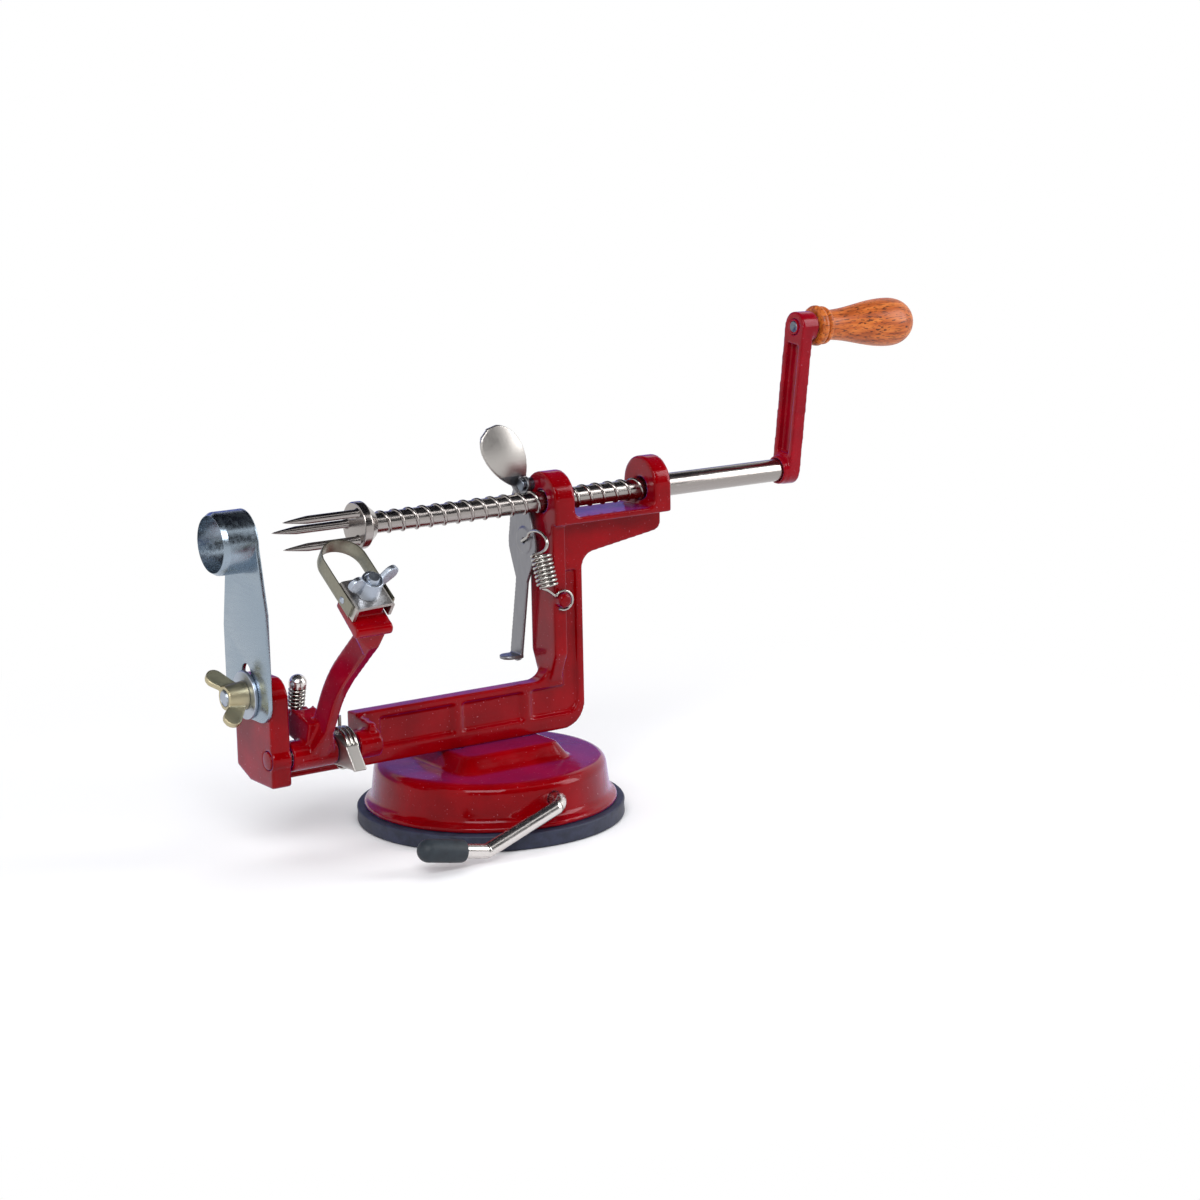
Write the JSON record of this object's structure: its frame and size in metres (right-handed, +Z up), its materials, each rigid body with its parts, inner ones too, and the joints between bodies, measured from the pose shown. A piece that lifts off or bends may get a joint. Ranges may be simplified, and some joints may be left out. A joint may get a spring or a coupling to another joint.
{
  "type": "apple peeler",
  "caption": "Hand-cranked apple peeler, corer and slicer: a red cast frame on a suction base, with a threaded feed shaft, fork, sprung paring arm, slicing blade and wooden handle.",
  "frame": {"origin": "centre of the suction pad, on the table", "axes": "+X along the feed shaft towards the crank, -Y towards the user, +Z up"},
  "size_m": [0.3093, 0.1135, 0.1801],
  "materials": {
    "rubber": "matt dark rubber and vinyl",
    "red_enamel": "glossy deep red enamel over a casting",
    "nickel": "bright nickel plate",
    "zinc": "zinc plate",
    "grey_steel": "satin pressed steel",
    "blade_steel": "ground steel",
    "spring_steel": "bright drawn wire",
    "wood": "stained and lacquered hardwood"
  },
  "bodies": {
    "base": {"suction_pad": "rubber", "base_shell": "red_enamel", "base_screws": "zinc", "frame": "red_enamel", "pawl_pivot": "zinc", "pawl_spring": "spring_steel", "slicing_blade": "blade_steel", "blade_bolt": "zinc", "blade_washer": "zinc", "blade_wing_nut": "zinc", "pivot_pin": "nickel", "arm_spring": "spring_steel"},
    "suction_lever": {"suction_lever": "nickel", "lever_tip": "rubber"},
    "pad_lifter": {"lift_stud": "zinc"},
    "shaft": {"shaft": "nickel"},
    "spindle": {"feed_thread": "nickel", "fork": "nickel", "crank_arm": "red_enamel", "handle_pin": "zinc"},
    "grip": {"handle_grip": "wood"},
    "feed_pawl": {"feed_pawl": "grey_steel"},
    "arm_latch": {"arm_latch": "grey_steel"},
    "paring_arm": {"paring_arm": "red_enamel", "stop_screw": "nickel", "stop_spring": "spring_steel", "blade_bracket": "grey_steel", "paring_blade": "blade_steel", "blade_rivets": "zinc", "head_stud": "zinc", "head_wing_nut": "zinc"}
  },
  "joints": [
    {"name": "suction_lever_turn", "type": "hinge", "parent": "base", "child": "suction_lever", "pos_m": [0, 0, 0.0155], "axis": [0, 1, 0], "range_deg": [0, 180]},
    {"name": "pad_lift", "type": "slide", "parent": "base", "child": "pad_lifter", "axis": [0, 0, 1], "range_m": [-0.0001, 0.0041]},
    {"name": "feed", "type": "slide", "parent": "base", "child": "shaft", "axis": [1, 0, 0], "range_m": [-0.0465, 0.0581]},
    {"name": "crank_turn", "type": "hinge", "parent": "shaft", "child": "spindle", "pos_m": [0, 0, 0.1157], "axis": [1, 0, 0], "range_deg": [-2880, 3600]},
    {"name": "grip_spin", "type": "hinge", "parent": "spindle", "child": "grip", "pos_m": [0.13998, -0.00633, 0.17211], "axis": [0.9994, 0.0039, -0.0347], "continuous": true},
    {"name": "paring_arm_swing", "type": "hinge", "parent": "base", "child": "paring_arm", "pos_m": [-0.08, -0.0101, 0.0387], "axis": [1, 0, 0], "range_deg": [-15, 45], "stiffness_Nm_per_rad": 0.6},
    {"name": "feed_pawl_release", "type": "hinge", "parent": "base", "child": "feed_pawl", "pos_m": [0.023, 0.0058, 0.1215], "axis": [1, 0, 0], "range_deg": [0, 9], "stiffness_Nm_per_rad": 0.15, "springref_deg": -2.86, "deforming": ["pawl_spring"]},
    {"name": "arm_latch_turn", "type": "hinge", "parent": "base", "child": "arm_latch", "pos_m": [-0.058, -0.0101, 0.0387], "axis": [1, 0, 0], "range_deg": [-20, 25]}
  ],
  "couplings": [
    {"joint": "feed", "follows": "crank_turn", "m_per_rad": 0.0009231},
    {"joint": "pad_lift", "follows": "suction_lever_turn", "m_per_rad": 0.0012732}
  ]
}
